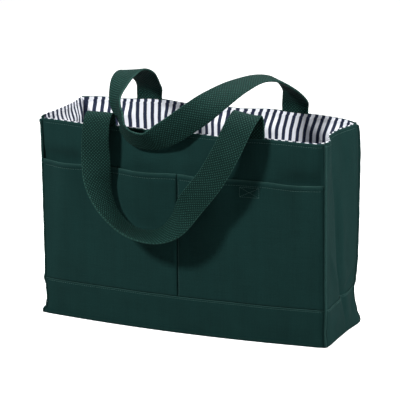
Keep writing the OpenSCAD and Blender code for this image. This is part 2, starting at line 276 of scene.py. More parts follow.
def rim_lift(side, s, z):
    """Stretch of a wall upward, so that its rim follows RIM_LIFT."""
    return np.clip(z / BAG_H, 0, 1) ** 4 * knots(s, RIM_LIFT[side])


def wall(side, s, z, d=0.0):
    """Points of a wall, in mm, at depth d inside its outer face."""
    s, z, d = np.broadcast_arrays(*(np.asarray(value, float) for value in (s, z, d)))
    out = bow(side, s, z) + relief(side, s, z) - d
    dx, dy = corner_shift(side, s, z)
    height = z - rim_sag(side, s, z) + rim_lift(side, s, z)
    if side == "front":
        x, y = s, -HALF_D - out
    elif side == "back":
        x, y = -s, HALF_D + out
    elif side == "right":
        x, y = HALF_W + out, s
    else:
        x, y = -HALF_W - out, -s
    return np.stack([x + dx, y + dy, height], -1)


def front_anchor(x):
    """Where the front handle's end is sewn, on the same side of the bag as x."""
    return np.where(np.asarray(x) < 0, LEFT_ANCHOR_X, RIGHT_ANCHOR_X)


def scallop(x):
    """How far a pocket's mouth gapes: nothing at the seams, the divider and the crosses."""
    a = np.abs(x)
    low, high = front_anchor(x) - CROSS_W / 2, front_anchor(x) + CROSS_W / 2
    near = np.sin(np.pi * a / low) ** 2
    far = np.sin(np.pi * (a - high) / (HALF_W - high)) ** 2
    return np.where(a < low, near, np.where(a < high, 0, far))


def stand_off(x, z):
    """How far a pocket stands off the front, growing from its foot to its mouth."""
    up = np.clip((z - POCKET_FOOT) / (POCKET_TOP - POCKET_FOOT), 0, 1.05)
    return GAP + POCKET_GAPE * scallop(x) * up ** 2


def pocket_place(s, z, d=0.0):
    """Points of a pocket: its inner face at d=0, outward is negative."""
    seam = 0.9 * ridge(s, DIVIDER_X, 2.6) * fade((POCKET_TOP - 9 - z) / 10)
    hem_pull = 0.25 * ridge(z, POCKET_TOP - POCKET_HEM, 1.1)
    inward = np.minimum(seam + hem_pull, stand_off(s, z) - 0.1)
    end = fade((HALF_W - np.abs(s)) / 9 + 0.08)
    return wall("front", s, z, d - stand_off(s, z) + inward + mouth_hollow(s, z) * end)


# ---- Meshes ----


def make(name, points, faces, slot, cloth, wear_and_highlight=None, body="bag"):
    """A mesh object from points in mm. cloth holds (u, v) in mm along the cloth; the paling share,
    0 to 1, is partly rubbed wear and partly a painted highlight.
    """
    mesh = bpy.data.meshes.new(name)
    mesh.from_pydata((np.asarray(points) * MM).tolist(), [], [list(map(int, f)) for f in faces])
    mesh.update()
    mesh.polygons.foreach_set("use_smooth", [True] * len(mesh.polygons))
    flat = np.zeros((len(points), 3), np.float32)
    flat[:, :2] = np.asarray(cloth, float) * MM
    mesh.attributes.new("cloth", "FLOAT_VECTOR", "POINT").data.foreach_set("vector", flat.ravel())
    wear_and_highlight_share = np.zeros(len(points), np.float32) if wear_and_highlight is None else np.asarray(wear_and_highlight, np.float32)
    mesh.attributes.new("wear_and_highlight", "FLOAT", "POINT").data.foreach_set("value", wear_and_highlight_share)
    piece = bpy.data.objects.new(name, mesh)
    bpy.context.scene.collection.objects.link(piece)
    mesh.materials.append(MATERIALS[slot])
    if body:
        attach(piece, body)
    return piece


def ease(a, b, step, extra=()):
    """Places from a to b no further than step apart, with extra ones between."""
    n = max(2, int(math.ceil(abs(b - a) / step)) + 1)
    return np.unique(np.concatenate([np.linspace(a, b, n), np.asarray(extra, float)]))


def cloth_sheet(name, place, ss, zs, outer, thick, slot, warp=None, wear_and_highlight=None):
    """A closed sheet of cloth with rounded top and bottom edges.

    place(s, z, d) gives points, outer(s, z) the depth of the outer face, thick its thickness.
    warp(s, z) shifts the printed pattern along the cloth; the last function pales it, partly as
    rubbed wear and partly as a painted highlight.
    """
    r = thick / 2
    zs = np.asarray(zs, float)
    body_z = zs.copy()
    body_z[0] += r
    body_z[-1] -= r
    turn = np.radians([45, 90, 135])
    loop_z = np.concatenate([body_z, body_z[-1] + r * np.sin(turn),
                             body_z[::-1], body_z[0] - r * np.sin(turn)])
    loop_d = np.concatenate([np.zeros(len(zs)), r - r * np.cos(turn),
                             np.full(len(zs), thick), r + r * np.cos(turn)])
    S, Z = np.meshgrid(ss, loop_z)
    D = np.broadcast_to(loop_d[:, None], S.shape)
    P = place(S, Z, outer(S, Z) + D)
    rows, cols = S.shape
    index = np.arange(rows * cols).reshape(rows, cols)
    lower, upper = index, np.roll(index, -1, 0)
    quads = np.stack([lower[:, :-1], lower[:, 1:], upper[:, 1:], upper[:, :-1]], -1).reshape(-1, 4)
    n = len(zs)
    faces = quads.tolist()
    inner = [2 * n + 2 - j for j in range(n)]
    for col, flip in ((0, True), (cols - 1, False)):
        for j in range(n - 1):
            f = [index[j, col], index[inner[j], col], index[inner[j + 1], col], index[j + 1, col]]
            faces.append(f[::-1] if flip else f)
        top = [index[k, col] for k in range(n - 1, n + 4)]
        foot = [index[k % rows, col] for k in range(2 * n + 2, 2 * n + 7)]
        for f in (top, foot):
            faces.append(f if flip else f[::-1])
    u, v = (S, Z) if warp is None else warp(S, Z)
    wear_and_highlight_share = np.zeros(S.shape) if wear_and_highlight is None else wear_and_highlight(S, Z)
    cloth = np.stack([u.ravel(), v.ravel()], -1)
    return make(name, P.reshape(-1, 3), faces, slot, cloth, wear_and_highlight_share.ravel())


# ---- Materials ----

# Pitches of the cloths, in metres
CANVAS_WEAVE, TICKING_WEAVE = 0.00062, 0.0004
WEBBING_KNUCKLE, WEBBING_YARN = 0.0043, 0.0018
THREAD_TWIST = 0.0009
STRIPE_PITCH, STRIPE_NAVY, STRIPE_SOFT = 0.0103, 0.0050, 0.00025

class Nodes:
    """A short way to build a node tree."""

    def __init__(self, name):
        self.material = bpy.data.materials.new(name)
        self.material.use_nodes = True
        self.tree = self.material.node_tree
        self.tree.nodes.clear()
        self.out = self.tree.nodes.new("ShaderNodeOutputMaterial")
        self.shader = self.tree.nodes.new("ShaderNodeBsdfPrincipled")
        self.link(self.shader.outputs[0], self.out.inputs["Surface"])

    def link(self, a, b):
        self.tree.links.new(a, b)

    def feed(self, socket, value):
        if hasattr(value, "is_output"):
            self.link(value, socket)
        else:
            socket.default_value = value

    def maths(self, operation, a, b=0.0, c=0.0):
        node = self.tree.nodes.new("ShaderNodeMath")
        node.operation = operation
        for socket, value in zip(node.inputs, (a, b, c)):
            self.feed(socket, value)
        return node.outputs[0]

    def attribute(self, name):
        node = self.tree.nodes.new("ShaderNodeAttribute")
        node.attribute_name = name
        return node

    def along(self, vector):
        node = self.tree.nodes.new("ShaderNodeSeparateXYZ")
        self.link(vector, node.inputs[0])
        return node.outputs[0], node.outputs[1]

    def noise(self, vector, scale, detail, stretch=None):
        if stretch:
            mapping = self.tree.nodes.new("ShaderNodeMapping")
            mapping.inputs["Scale"].default_value = stretch
            self.link(vector, mapping.inputs["Vector"])
            vector = mapping.outputs[0]
        node = self.tree.nodes.new("ShaderNodeTexNoise")
        node.inputs["Scale"].default_value = scale
        node.inputs["Detail"].default_value = detail
        self.link(vector, node.inputs["Vector"])
        return node.outputs["Fac"]

    def span(self, value, low, high, to_low=0.0, to_high=1.0):
        node = self.tree.nodes.new("ShaderNodeMapRange")
        for name, number in (("From Min", low), ("From Max", high),
                             ("To Min", to_low), ("To Max", to_high)):
            node.inputs[name].default_value = number
        self.feed(node.inputs["Value"], value)
        return node.outputs[0]

    def mix(self, share, a, b):
        node = self.tree.nodes.new("ShaderNodeMix")
        node.data_type = "RGBA"
        self.feed(node.inputs[0], share)
        self.feed(node.inputs[6], a)
        self.feed(node.inputs[7], b)
        return node.outputs[2]

    def bump(self, height, distance, strength, normal=None):
        node = self.tree.nodes.new("ShaderNodeBump")
        node.inputs["Distance"].default_value = distance
        node.inputs["Strength"].default_value = strength
        self.link(height, node.inputs["Height"])
        if normal is not None:
            self.link(normal, node.inputs["Normal"])
        return node.outputs[0]

    def sine(self, value, pitch, phase=0.0):
        """A wave from 0 to 1 and back over each pitch, in metres."""
        turned = self.maths("MULTIPLY_ADD", value, 2 * math.pi / pitch, phase)
        return self.maths("MULTIPLY_ADD", self.maths("SINE", turned), 0.5, 0.5)


def plain_weave(n, u, v, pitch):
    """Height of a plain weave: warp and weft take turns on top."""
    over = n.maths("MULTIPLY", n.sine(u, 2 * pitch), n.sine(v, 2 * pitch))
    under = n.maths("MULTIPLY", n.sine(u, 2 * pitch, math.pi), n.sine(v, 2 * pitch, math.pi))
    return n.maths("ADD", over, under)


def canvas_material():
    n = Nodes("canvas_green")
    cloth = n.attribute("cloth").outputs["Vector"]
    u, v = n.along(cloth)
    weave = plain_weave(n, u, v, CANVAS_WEAVE)
    slubs = n.maths("ADD", n.noise(cloth, 1.0, 3, (900, 26, 1)),
                    n.noise(cloth, 1.0, 3, (26, 900, 1)))
    patches = n.maths("MULTIPLY_ADD", n.noise(cloth, 1.0, 3, (70, 6, 1)), 0.5,
                      n.maths("MULTIPLY", n.noise(cloth, 16.0, 4), 0.5))
    lint = n.noise(cloth, 420.0, 2)
    base = n.mix(n.span(patches, 0.3, 0.7),
                 (0.0038, 0.0218, 0.0202, 1), (0.0066, 0.0322, 0.0296, 1))
    base = n.mix(n.span(slubs, 0.8, 1.25, 0.0, 0.45), base, (0.0088, 0.0370, 0.0340, 1))
    # Painted shade: the cloth is darker in the hollows of the weave.
    base = n.mix(n.span(weave, 0.2, 0.8, 0.35, 0.0), base, (0.0040, 0.0200, 0.0185, 1))
    base = n.mix(n.span(lint, 0.62, 0.75, 0.0, 0.15), base, (0.0220, 0.0600, 0.0540, 1))
    # Paler cloth by the mesh's paling share: partly rubbed wear, partly a painted highlight on
    # turned edges and ridges.
    wear_and_highlight = n.maths("MULTIPLY", n.attribute("wear_and_highlight").outputs["Fac"],
                   n.span(patches, 0.25, 0.75, 0.45, 1.0))
    base = n.mix(wear_and_highlight, base, (0.0330, 0.0840, 0.0740, 1))
    n.link(base, n.shader.inputs["Base Color"])
    n.link(n.span(patches, 0.2, 0.8, 0.82, 0.95), n.shader.inputs["Roughness"])
    n.shader.inputs["Sheen Weight"].default_value = 0.02
    n.shader.inputs["Sheen Roughness"].default_value = 0.45
    n.shader.inputs["Specular IOR Level"].default_value = 0.08
    height = n.maths("ADD", weave, n.maths("MULTIPLY", slubs, 1.2))
    fine = n.bump(height, 0.00022, 0.7)
    n.link(n.bump(n.noise(cloth, 55.0, 3), 0.0009, 0.5, fine), n.shader.inputs["Normal"])
    return n.material


def webbing_material():
    n = Nodes("webbing_green")
    cloth = n.attribute("cloth").outputs["Vector"]
    u, v = n.along(cloth)
    one = n.maths("ADD", u, v)
    two = n.maths("SUBTRACT", u, v)
    knuckles = n.maths("MULTIPLY", n.sine(one, WEBBING_KNUCKLE), n.sine(two, WEBBING_KNUCKLE))
    yarns = n.maths("MULTIPLY", n.sine(one, WEBBING_YARN), n.sine(two, WEBBING_YARN))
    uneven = n.noise(cloth, 260.0, 2)
    patches = n.noise(cloth, 22.0, 3)
    base = n.mix(n.span(patches, 0.3, 0.7),
                 (0.0050, 0.0230, 0.0190, 1), (0.0070, 0.0285, 0.0240, 1))
    # Painted highlight on the knuckle tops and painted shade between them.
    lit = n.maths("MULTIPLY", n.span(knuckles, 0.45, 0.85), n.span(uneven, 0.3, 0.7, 0.45, 1.0))
    base = n.mix(n.span(knuckles, 0.0, 0.35, 0.6, 0.0), base, (0.0022, 0.0110, 0.0090, 1))
    base = n.mix(n.maths("MULTIPLY", lit, 0.85), base, (0.0290, 0.1050, 0.0860, 1))
    # Paler selvedges by the mesh's paling share: partly rubbed wear, partly a painted highlight.
    wear_and_highlight = n.maths("MULTIPLY", n.attribute("wear_and_highlight").outputs["Fac"],
                   n.span(uneven, 0.3, 0.7, 0.5, 1.0))
    base = n.mix(wear_and_highlight, base, (0.0300, 0.0850, 0.0700, 1))
    n.link(base, n.shader.inputs["Base Color"])
    n.link(n.span(uneven, 0.2, 0.8, 0.55, 0.72), n.shader.inputs["Roughness"])
    n.shader.inputs["Sheen Weight"].default_value = 0.01
    n.shader.inputs["Sheen Roughness"].default_value = 0.4
    n.shader.inputs["Specular IOR Level"].default_value = 0.05
    height = n.maths("ADD", knuckles, n.maths("MULTIPLY", yarns, 0.35))
    n.link(n.bump(height, 0.0008, 0.9), n.shader.inputs["Normal"])
    return n.material


def ticking_material():
    n = Nodes("ticking_striped")
    cloth = n.attribute("cloth").outputs["Vector"]
    u, v = n.along(cloth)
    wobble = n.maths("MULTIPLY_ADD", n.noise(cloth, 300.0, 2), 0.0004, -0.0002)
    placed = n.maths("ADD", u, wobble)
    phase = n.maths("PINGPONG", placed, STRIPE_PITCH / 2)
    navy = n.span(phase, STRIPE_NAVY / 2 - STRIPE_SOFT, STRIPE_NAVY / 2 + STRIPE_SOFT, 1.0, 0.0)
    weave = plain_weave(n, u, v, TICKING_WEAVE)
    patches = n.noise(cloth, 30.0, 3)
    white = n.mix(n.span(patches, 0.3, 0.7), (0.78, 0.80, 0.85, 1), (0.86, 0.87, 0.91, 1))
    blue = n.mix(n.span(patches, 0.3, 0.7), (0.012, 0.017, 0.040, 1), (0.020, 0.027, 0.055, 1))
    # Painted shade: the white yarns turn grey in the hollows of the weave.
    white = n.mix(n.span(weave, 0.2, 0.8, 0.25, 0.0), white, (0.55, 0.58, 0.64, 1))
    faded = n.span(n.noise(cloth, 700.0, 2), 0.55, 0.75, 0.0, 0.35)
    blue = n.mix(faded, blue, (0.07, 0.085, 0.13, 1))
    n.link(n.mix(navy, white, blue), n.shader.inputs["Base Color"])
    n.link(n.span(patches, 0.2, 0.8, 0.8, 0.92), n.shader.inputs["Roughness"])
    n.shader.inputs["Sheen Weight"].default_value = 0.03
    n.shader.inputs["Specular IOR Level"].default_value = 0.12
    fine = n.bump(weave, 0.00012, 0.6)
    n.link(n.bump(n.noise(cloth, 70.0, 3), 0.0008, 0.5, fine), n.shader.inputs["Normal"])
    return n.material


def thread_material():
    n = Nodes("thread_green")
    cloth = n.attribute("cloth").outputs["Vector"]
    u, v = n.along(cloth)
    twist = n.sine(n.maths("ADD", u, n.maths("MULTIPLY", v, 1.5)), THREAD_TWIST)
    # Painted highlight on the twist's ridges and painted shade in its grooves.
    base = n.mix(twist, (0.0260, 0.0700, 0.0620, 1), (0.0520, 0.1250, 0.1120, 1))
    uneven = n.span(n.noise(cloth, 90.0, 2), 0.4, 0.7, 0.0, 0.4)
    base = n.mix(uneven, base, (0.0300, 0.0780, 0.0700, 1))
    n.link(base, n.shader.inputs["Base Color"])
    n.link(n.span(twist, 0.0, 1.0, 0.5, 0.65), n.shader.inputs["Roughness"])
    n.shader.inputs["Sheen Weight"].default_value = 0.02
    n.shader.inputs["Specular IOR Level"].default_value = 0.15
    n.link(n.bump(twist, 0.0001, 0.8), n.shader.inputs["Normal"])
    return n.material


MATERIALS = {"canvas": canvas_material(), "webbing": webbing_material(),
             "ticking": ticking_material(), "thread": thread_material()}

# ---- Canvas shell ----


def edge_wear_and_highlight(z_top, depth, amount):
    """Paler cloth along a turned top edge: partly rubbed wear, partly a painted highlight where the
    edge catches the light.
    """
    return lambda s, z: amount * fade((z - z_top + depth) / depth)


def canvas_wall(name, side):
    """One wall of the bag, from the floor's cloth to its turned rim."""
    half = HALF[side] - WALL_END
    top = BAG_H + (0.3 if side == "back" else -0.4)

    def outer(s, z):
        # The stitch row pulls the rim's turned hem in
        return 0.35 * ridge(z, RIM_STITCH_Z, 1.0)

    piece = cloth_sheet(name, partial(wall, side), ease(-half, half, 4.0),
                        ease(LAYER_T, top, 4.0, (267, 268, 269, 270, 271)),
                        outer, CANVAS_T, "canvas", wear_and_highlight=edge_wear_and_highlight(BAG_H, 2.0, 0.35))
    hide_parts(name)


def foot_band(name, side):
    """The second layer of canvas round the foot of one wall."""
    half = HALF[side] - WALL_END - GAP

    def outer(s, z):
        # The turned edge is thicker, and its stitch row pulls it in
        hem = 0.12 * fade((z - BAND_STITCH_Z + 1.4) / 2.5)
        return -LAYER_T - hem + 0.25 * ridge(z, BAND_STITCH_Z, 0.9)

    piece = cloth_sheet(name, partial(wall, side), ease(-half, half, 3.5),
                        ease(0, BAND_H, 3.5, (46, 47, 48, 49, 50)), outer, CANVAS_T, "canvas",
                        wear_and_highlight=edge_wear_and_highlight(BAND_H, 1.1, 0.9))
    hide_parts(name)


for side, node in WALL_NODE.items():
    canvas_wall(node, side)
for side in WALL_NODE:
    foot_band(side + "_band", side)

# The bottom is cut wider than the bag's corners are apart, because its walls bow out over it
BASE_ENDS = 4, 96


def foot_slab(name, corner, inset, z0, thick, slot):
    """The bottom cloth, or its lining: a slab between the feet of the front and back walls."""
    run = HALF_W - corner

    def place(s, percent, z):
        a = wall("front", s, 0.0, inset)
        b = wall("back", -s, 0.0, inset)
        point = a + (b - a) * (percent / 100)[..., None]
        point[..., 2] = z
        return point

    S, T = np.meshgrid(ease(-run, run, 6.0), np.linspace(*BASE_ENDS, 22))
    low, high = place(S, T, z0), place(S, T, z0 + thick)
    rows, cols = S.shape
    n = rows * cols
    i = np.arange(n).reshape(rows, cols)
    a, b, c, d = i[:-1, :-1], i[:-1, 1:], i[1:, 1:], i[1:, :-1]
    faces = np.stack([d, c, b, a], -1).reshape(-1, 4).tolist()
    faces += (np.stack([a, b, c, d], -1) + n).reshape(-1, 4).tolist()
    rim = i[0, :].tolist() + i[1:, -1].tolist() + i[-1, -2::-1].tolist() + i[-2:0:-1, 0].tolist()
    faces += [[p, q, q + n, p + n] for p, q in zip(rim, rim[1:] + rim[:1])]
    points = np.concatenate([low.reshape(-1, 3), high.reshape(-1, 3)])
    piece = make(name, points, faces, slot, points[:, :2])
    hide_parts(name)


foot_slab("base_panel", CORNER_GAP + 1.1, 0.0, 0.0, CANVAS_T, "canvas")
foot_slab("base_lining", LINING_CORNER, LAYER_T + GAP, LAYER_T, LINING_T, "ticking")

# ---- Front pockets ----


def pocket(name, x0, x1):
    """A patch pocket on the front, from x0 to x1."""

    def outer(s, z):
        # The turned hem is thicker than the cloth below its stitch row
        return -CANVAS_T - 0.45 * fade((z - HEM_STITCH_Z - 0.1) / 2.0)

    piece = cloth_sheet(name, pocket_place, ease(x0, x1, 3.2),
                        ease(POCKET_FOOT, POCKET_TOP, 4.0, (208, 209, 210, 211, 212, 213, 214)),
                        outer, CANVAS_T, "canvas", wear_and_highlight=edge_wear_and_highlight(POCKET_TOP, 1.1, 0.95))
    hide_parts(name)


pocket("left_pocket", WALL_END + GAP - HALF_W, -0.5)
pocket("right_pocket", 0.5, HALF_W - WALL_END - GAP)

# ---- Rolled corner seams ----

WELT_SIDES = 16
WELT_TOP_DROP = 2.2

def swept(points, tangents, first, rings_of):
    """Rings round a line. first[k] points across it, rings_of(k) gives (across, out) offsets."""
    rings = []
    for k, (p, t) in enumerate(zip(points, tangents)):
        t = t / np.linalg.norm(t)
        w = first[k] - t * (first[k] @ t)
        w = w / np.linalg.norm(w)
        out = np.cross(t, w)
        rings.append([p + w * a + out * b for a, b in rings_of(k)])
    return np.array(rings)


def tube_faces(rings, sides):
    i = np.arange(rings * sides).reshape(rings, sides)
    a, b = i[:-1], np.roll(i[:-1], -1, 1)
    c, d = np.roll(i[1:], -1, 1), i[1:]
    faces = np.stack([a, b, c, d], -1).reshape(-1, 4).tolist()
    return faces + [i[0, ::-1].tolist(), i[-1].tolist()]


def welt(name, corner):
    """The seam allowances of one corner, rolled and stitched."""
    cx, cy = corner
    z = ease(0.6, BAG_H - 0.6, 2.5)
    in_x, in_y = CORNERS[corner]
    side, s = ("right" if cx > 0 else "left"), cx * cy * HALF_D
    tall = z * (1 - WELT_TOP_DROP / BAG_H) + rim_lift(side, s, z)
    line = np.stack([cx * (HALF_W - 1) + knots(z, in_x),
                     cy * (HALF_D + 0.2) + knots(z, in_y), tall], -1)
    rng = np.random.default_rng(SEED + cx + 3 * cy)
    puff = (1 + 0.05 * np.sin(z / 3.2 + rng.uniform(0, 6))
            + 0.04 * np.sin(z / 7.1 + rng.uniform(0, 6)))
    end = np.clip(np.minimum(z, BAG_H - z) / 1.6, 0.25, 1) ** 0.5
    angles = np.linspace(0, 2 * math.pi, WELT_SIDES, endpoint=False)

    def ring(k):
        r = WELT_R * puff[k] * end[k]
        # A pinched, leaf-like section: two turned edges rolled and stitched together
        return [(1.12 * r * math.cos(a), r * math.sin(a) * (1 + 0.16 * math.cos(2 * a)))
                for a in angles]

    across_way = np.tile([cx * 0.7071, cy * 0.7071, 0.0], (len(z), 1))
    rings = swept(line, np.gradient(line, axis=0), across_way, ring)
    u = np.tile(angles * WELT_R, (len(z), 1))
    cloth = np.stack([u, np.tile(z[:, None], (1, WELT_SIDES))], -1).reshape(-1, 2)
    # The outer ridge of the roll is paler: partly rubbed wear, partly a painted highlight.
    wear_and_highlight_share = np.tile(0.55 * np.clip(np.cos(angles), 0, 1) ** 2, (len(z), 1)).ravel()
    piece = make(name, rings.reshape(-1, 3), tube_faces(len(z), WELT_SIDES), "canvas", cloth, wear_and_highlight_share)
    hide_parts(name)


for node, corner in (("front_left_welt", (-1, -1)), ("front_right_welt", (1, -1)),
                     ("back_left_welt", (-1, 1)), ("back_right_welt", (1, 1))):
    welt(node, corner)

# ---- Striped lining ----

CREASE_Z = 252.0
STRIPE_LEAN = {"front": 0.05, "back": 0.24, "left": -0.20, "right": 0.10}


def lining_slack(side, s, z):
    """Loose lining stands into the bag in soft folds; never outward."""
    loose = 0.9 + 0.9 * waves(s, z, SEED + 70 + len(side), 6, 90, 30)
    crease = 1.6 * ridge(z, CREASE_Z + 3 * np.sin(s / 61.0), 7.0)
    free = (fade((BAG_H - 4 - z) / 16) * fade(z / 20)
            * fade((HALF[side] - LINING_CORNER - np.abs(s)) / 10))
    return np.clip(loose + crease, 0, 4.2) * free


def lining_depth(side, s, z):
    """Depth of the lining: on the canvas at the rim and over the sewn webbing below it.

    It turns each corner to meet its neighbour.
    """
    if side in ("left", "right"):
        depth = LAYER_T + lining_slack(side, s, z)
    else:
        anchor = front_anchor(s) if side == "front" else BACK_ANCHOR_X
        over_web = fade((WEB_W / 2 + 8 - np.abs(np.abs(s) - anchor)) / 7)
        low = fade((BAG_H - 5 - z) / 14)
        depth = LAYER_T + (WEB_T + 2 * GAP) * np.maximum(over_web, low)
        depth = depth + lining_slack(side, s, z) * (1 - 0.8 * over_web)
    turn = fade(1 - (HALF[side] - LINING_CORNER - np.abs(s)) / 11)
    return depth + turn * (bow(side, s, z) + relief(side, s, z) + LINING_CORNER - depth)


def stripe_warp(side):
    """The printed stripes wander, lean above the crease, and jog where the rim is rolled."""
    def warp(s, z):
        lean = STRIPE_LEAN[side]
        above = np.clip(z - CREASE_Z, 0, None)
        below = np.clip(CREASE_Z - z, 0, 34)
        if side == "back":
            lean = lean * fade((20 - s) / 90)
        u = s + lean * above + 0.06 * below * np.sin(s / 71.0)
        u = u + 0.9 * waves(s, z, SEED + 90 + len(side), 5, 160, 45)
        u = u + 0.8 * fade((z - (BAG_H - 4.2)) / 1.0)
        return u, z
    return warp


def lining(name, side):
    """The striped lining of one wall."""
    half = HALF[side] - LINING_CORNER
    top = BAG_H + (-0.2 if side == "back" else 0.3)

    def outer(s, z):
        # The rolled edge ends in a small step
        return lining_depth(side, s, z) + 0.4 * ridge(z, BAG_H - 4.6, 0.8)

    piece = cloth_sheet(name, partial(wall, side), ease(-half, half, 3.0),
                        ease(2 * LAYER_T, top, 3.5, (270, 270.4, 270.8, 271.2, 271.6, 272.5)),
                        outer, LINING_T, "ticking", warp=stripe_warp(side))
    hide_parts(name)


for side in WALL_NODE:
    lining(side + "_lining", side)

# ---- Handles ----

SEWN_L = 79.0
STRAP_STEP = 2.0

def sewn(side, x, way):
    """Stations of a handle end between the canvas and the lining, upward."""
    slope = 2 * x / HALF_W ** 2 if side == "front" else -4 * x ** 3 / HALF_W ** 4
    s = x if side == "front" else -x
    rows = []
    for z in (BAG_H - SEWN_L, BAG_H - 55, BAG_H - 35, BAG_H - 18, BAG_H - 4):
        tilt = slope * bow(side, 0.0, z)
        rows.append((wall(side, s, z, WEB_DEPTH).tolist(), (way, way * tilt, 0)))
    return rows


# Stations of the handles' free parts, left to right: a point in mm, and the way across the strap
FRONT_FREE = [
    ((-110, -66.2, 284), (1, 0, 0)),
    ((-110, -68.4, 290), (1, 0, 0)),
    ((-110, -72.4, 292.4), (1, 0, 0)),
    ((-110, -77, 291), (1, 0.01, 0)),
    ((-110, -83, 284), (1, 0.05, 0)),
    ((-110, -89, 262), (1, 0.12, 0)),
    ((-109, -91, 232), (0.93, 0.35, 0)),
    ((-104, -96, 199), (0.6, 0.8, -0.05)),
    ((-87, -100, 166), (0.25, 0.95, -0.1)),
    ((-57, -102, 143), (0.05, 1, 0)),
    ((-21, -103, 140), (-0.15, 0.95, 0.25)),
    ((11, -105, 157), (-0.5, 0.6, 0.6)),
    ((35, -107, 190), (-0.75, 0.1, 0.6)),
    ((62, -105, 225), (-0.82, 0.05, 0.55)),
    ((82.5, -100, 262), (-0.88, 0.05, 0.47)),
    ((94, -90, 291), (-0.92, 0.05, 0.37)),
    ((98, -82, 301.5), (-0.95, 0.08, 0.27)),
    ((99.7, -76.5, 306), (-0.97, 0.05, 0.21)),
    ((100, -71.5, 307.2), (-0.98, 0, 0.18)),
    ((100.5, -66.8, 305), (-0.98, 0, 0.14)),
    ((101.5, -64.5, 299), (-0.99, 0, 0.08)),
    ((102, -63.8, 288), (-1, 0, 0)),
]
BACK_FREE = [
    ((-108, 77.3, 282), (1, 0, 0)),
    ((-108, 77.1, 288), (1, 0, 0)),
    ((-106, 73.5, 295), (1, -0.08, 0.03)),
    ((-103, 64, 304), (0.97, -0.2, 0.14)),
    ((-103, 46, 320), (0.88, -0.3, 0.38)),
    ((-106, 20, 332), (0.97, -0.2, 0.16)),
    ((-103, -12, 330), (0.94, -0.33, 0.11)),
    ((-97, -42, 317), (0.8, -0.56, 0.23)),
    ((-88.5, -63.5, 304), (0.62, -0.74, 0.25)),
    ((-76.5, -80, 290), (0.52, -0.8, 0.3)),
    ((-69, -89, 278), (0.56, -0.76, 0.33)),
    ((-56, -89, 266), (0.46, -0.67, 0.58)),
    ((-33, -88, 263), (0.18, -0.64, 0.75)),
    ((-9, -87, 275), (-0.21, -0.38, 0.9)),
    ((24, -78, 298), (-0.49, -0.13, 0.86)),
    ((52, -58, 320), (-0.68, 0.42, 0.6)),
    ((70, -34, 333), (-0.72, 0.63, 0.28)),
    ((87, -2, 339), (-0.62, 0.78, 0.02)),
    ((101, 26, 333), (-0.6, 0.78, -0.04)),
    ((110, 46, 320), (-0.75, 0.6, -0.02)),
    ((113, 63, 305), (-0.9, 0.35, 0)),
    ((110, 73.5, 295), (-0.98, 0.08, 0)),
    ((108, 77.1, 288), (-1, 0, 0)),
    ((108, 77.3, 282), (-1, 0, 0)),
]


def smooth_line(rows, step):
    """Centripetal Catmull-Rom through the stations, spaced evenly by arc length."""
    p = np.array([r[0] for r in rows], float)
    w = np.array([r[1] for r in rows], float)
    p = np.vstack([2 * p[0] - p[1], p, 2 * p[-1] - p[-2]])
    w = np.vstack([w[0], w, w[-1]])
    gaps = np.linalg.norm(np.diff(p, axis=0), axis=1) ** 0.5
    t = np.concatenate([[0], np.cumsum(gaps)])
    line, widths = [], []
    for k in range(1, len(p) - 2):
        for value in np.linspace(t[k], t[k + 1], 24, endpoint=k == len(p) - 3):
            for source, target in ((p, line), (w, widths)):
                a = [source[i] + (source[i + 1] - source[i]) * (value - t[i]) / (t[i + 1] - t[i])
                     for i in (k - 1, k, k + 1)]
                b = [a[j] + (a[j + 1] - a[j]) * (value - t[i]) / (t[i + 2] - t[i])
                     for j, i in enumerate((k - 1, k))]
                target.append(b[0] + (b[1] - b[0]) * (value - t[k]) / (t[k + 1] - t[k]))
    line, widths = np.array(line), np.array(widths)
    run = np.concatenate([[0], np.cumsum(np.linalg.norm(np.diff(line, axis=0), axis=1))])
    places = np.linspace(0, run[-1], int(run[-1] / step) + 1)
    even = np.stack([np.interp(places, run, line[:, i]) for i in range(3)], -1)
    wide = np.stack([np.interp(places, run, widths[:, i]) for i in range(3)], -1)
    return even, wide, places


def strap(name, rows, nodes):
    """A webbing handle in one piece. It bends between start and end, where it folds at the rim."""
    line, wide, places = smooth_line(rows, STRAP_STEP)
    half_w, half_t = WEB_W / 2, WEB_T / 2
    flats = np.linspace(-half_w + half_t, half_w - half_t, 13)
    turn = np.radians([-60, -30, 0, 30, 60])
    right = [(half_w - half_t + half_t * math.cos(a), half_t * math.sin(a)) for a in turn]
    left = [(-x, -h) for x, h in right]
    section = [(x, -half_t) for x in flats] + right + [(x, half_t) for x in flats[::-1]] + left
    xs = np.array([x for x, h in section])
    ripple = 0.22 * np.sin(places / 17.0 + 1.0) + 0.18 * np.sin(places / 7.3)

    def ring(k):
        # The selvedges are a little thicker, and the strap cups slightly across its width
        cup = ripple[k] * (1 - (xs / half_w) ** 2)
        return [(x, h * (1 + 0.12 * (abs(x) > half_w - 3)) + c) for (x, h), c in zip(section, cup)]

    rings = swept(line, np.gradient(line, axis=0), wide, ring)
    sides = len(section)
    v = np.tile(places[:, None], (1, sides))
    u = np.tile(xs, (len(places), 1))
    # The selvedges are paler: partly rubbed wear, partly a painted highlight along the strap's
    # edges.
    wear_and_highlight_share = np.tile(0.5 * fade((np.abs(xs) - half_w + 0.9) / 0.7), (len(places), 1)).ravel()
    piece = make(name, rings.reshape(-1, 3), tube_faces(len(places), sides), "webbing",
                 np.stack([u, v], -1).reshape(-1, 2), wear_and_highlight_share, body=None)
    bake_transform(piece)
    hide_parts(*nodes)


